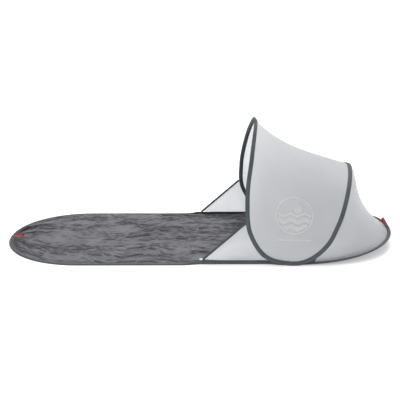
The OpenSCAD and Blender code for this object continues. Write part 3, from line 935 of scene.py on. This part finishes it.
def binding_section():
    """A folded tape, with a slot on its rear side for the wing's edge."""
    half, top, gap = BINDING_W / 2, 0.0017, 0.00045
    turns = np.linspace(math.pi / 2, -math.pi / 2, 9)
    nose = np.stack([-half + 0.0024 - 0.0024 * np.cos(turns), top * np.sin(turns)], -1)
    lips = [[half, -top * 0.8], [half, -gap], [0, -gap], [0, gap], [half, gap], [half, top * 0.8]]
    return np.concatenate([nose, lips])


def make_binding(name, side):
    way = unit(WING_HEAD - WING_FOOT)
    wide = binding_wide() * [1, side, 1]
    at = np.linspace(0, 1, 90)[:, None]
    centre = mix(WING_FOOT - way * 0.009, WING_HEAD + way * 0.006, at) * [1, side, 1]
    along = np.repeat((way * [1, side, 1])[None], len(at), axis=0)
    wides = np.repeat(wide[None], len(at), axis=0)
    section = puckered(binding_section(), lengths(centre), 70, 0.08)
    obj = sweep_object(name, centre, along, wides, section, BINDING)
    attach(obj, "shelter")
    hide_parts("wing_binding_left" if side > 0 else "wing_binding_right")
    through = np.cross(along, wides)
    for face, out in (("a", 1), ("b", -1)):
        row = stitches(f"{name}_stitches_{face}", centre + wides * 0.0028 + through * out * 0.0015,
                       through * out, DARK_THREAD)
        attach(row, "shelter")


for word, sign in (("left", 1), ("right", -1)):
    make_wing(f"wing_cloth_{word}", sign)
    make_binding(f"wing_edge_{word}", sign)


# ======================= Pull tabs and label =======================
def make_tab(name, node, body, hinge, tilt, heading):
    """A loop of webbing sewn flat at its root, with a box of stitches, lying along heading."""
    tape, loop = 0.0012, 0.0034
    hinge = np.array(hinge)
    run = np.linspace(0, 1, 26)
    belly = loop * smooth((run - 0.38) / 0.5) * 0.55
    upper = np.stack([run * (TAB_L - loop), 0.0002 + tape / 2 + belly], -1)
    lower = np.stack([run * (TAB_L - loop), -0.0002 - tape / 2 - belly], -1)
    turns = np.linspace(math.pi / 2, -math.pi / 2, 15)[1:-1]
    end_r = upper[-1, 1]
    nose = np.stack([TAB_L - loop + loop * np.cos(turns), end_r * np.sin(turns)], -1)
    line = np.concatenate([upper, nose, lower[::-1]])
    ahead = np.array([heading * math.cos(tilt), 0, math.sin(tilt)])
    raised = np.array([-heading * math.sin(tilt), 0, math.cos(tilt)])
    y = np.linspace(-TAB_W / 2, TAB_W / 2, 13)
    across = np.array([0, 1, 0])
    turn = TAB_TWIST * np.clip(line[:, :1] / TAB_L, 0, 1)
    width = across * np.cos(turn) + raised * np.sin(turn)
    normal = raised * np.cos(turn) - across * np.sin(turn)
    centre = hinge + line[:, :1] * ahead + line[:, 1:] * normal
    grid = centre[:, None] + y[None, :, None] * width[:, None]
    obj = sheet_object(name, grid, WEBBING, thickness=tape)
    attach(obj, body)
    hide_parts(node)
    box_x, box_y = np.array([0.004, 0.018]), TAB_W / 2 - 0.003
    corners = [(box_x[0], -box_y), (box_x[1], -box_y), (box_x[1], box_y), (box_x[0], box_y),
               (box_x[0], -box_y), (box_x[1], box_y)]
    for face, out in (("top", 1), ("under", -1)):
        flat = even_points(np.array(corners), 0.001)
        turn = TAB_TWIST * flat[:, :1] / TAB_L
        normal = (raised * np.cos(turn) - across * np.sin(turn)) * out
        width = across * np.cos(turn) + raised * np.sin(turn)
        path = hinge + flat[:, :1] * ahead + flat[:, 1:] * width + normal * (tape + 0.0002)
        row = stitches(f"{name}_stitches_{face}", path, normal, RED_THREAD, 0.0032, 0.0022)
        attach(row, body)


FOOT_TAB_X = 0.026 - HEAD_END
HEAD_TAB_X = HEAD_END - 0.007
TAB_T = 0.003
make_tab("foot_webbing", "foot_tab", "foot_pull",
         (FOOT_TAB_X, 0, SLEEVE_T + 0.0005 + TAB_T / 2), FOOT_TAB_TILT, 1)
make_tab("head_webbing", "head_tab", "head_pull",
         (HEAD_TAB_X, 0, SLEEVE_T + lift(np.array(HEAD_TAB_X)) + 0.0005 + TAB_T), HEAD_TAB_TILT, -1)


def make_label():
    """A folded ribbon, blank, that stands up out of the sleeve beside the near wing's foot."""
    lo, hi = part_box("blank_label")
    top = mix(lo.z, hi.z, 0.72)
    t = np.linspace(0, 1, 20)
    curl = 0.0012 * np.sin(t * math.pi)
    front = np.stack([mix(lo.y, hi.y, t) - curl * 0.5, mix(lo.z, top, t)], -1)
    back = front[::-1] + [0.0009, 0]
    line = np.concatenate([front, [[front[-1, 0] + 0.00045, top + 0.0006]], back])
    x = np.linspace(lo.x, hi.x, 12)
    grid = np.zeros((len(line), len(x), 3))
    grid[..., 0] = x
    grid[..., 1:] = line[:, None]
    obj = sheet_object("label_ribbon", grid, LABEL_CLOTH, thickness=0.0003)
    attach(obj, "shelter")
    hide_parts("blank_label")


make_label()

for ferrule in ("ground_ferrule", "hoop_ferrule"):
    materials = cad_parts[ferrule].data.materials
    materials.clear()
    materials.append(FERRULE)


# ======================= Floor and light =======================
FLOOR_GLOW = 0.35         # keeps the paper white in the object's shade
FLOOR_HALF = 40
FLOOR_DROP = 0.0005       # just under the mat, so that the two never share a plane


def make_stage():
    mesh = bpy.data.meshes.new("floor")
    corners = [(x * FLOOR_HALF, y * FLOOR_HALF, 0) for x, y in ((-1, -1), (1, -1), (1, 1), (-1, 1))]
    mesh.from_pydata(corners, [], [(0, 1, 2, 3)])
    n = Nodes("floor paper", 0.9)
    n.shader.inputs["Emission Color"].default_value = (1, 1, 1, 1)
    n.shader.inputs["Emission Strength"].default_value = FLOOR_GLOW
    n.finish((0.9, 0.9, 0.9, 1))
    mesh.materials.append(n.material)
    floor = bpy.data.objects.new("floor", mesh)
    floor.location.z = -FLOOR_DROP
    bpy.context.scene.collection.objects.link(floor)


def make_sun(name, source, angle, strength):
    data = bpy.data.lights.new(name, "SUN")
    data.angle = math.radians(angle)
    data.energy = strength
    obj = bpy.data.objects.new(name, data)
    obj.rotation_euler = Vector(source).to_track_quat("Z", "Y").to_euler()
    bpy.context.scene.collection.objects.link(obj)


def make_world(strength):
    world = bpy.data.worlds.new("studio")
    world.use_nodes = True
    background = world.node_tree.nodes["Background"]
    background.inputs[0].default_value = (1, 1, 1, 1)
    background.inputs[1].default_value = strength
    bpy.context.scene.world = world


make_stage()
make_sun("key", (-0.60, -0.50, 0.62), 60, 0.9)
make_sun("top", (0.12, 0.50, 0.86), 30, 1.7)
make_world(0.52)
bpy.context.scene.view_settings.view_transform = "Standard"
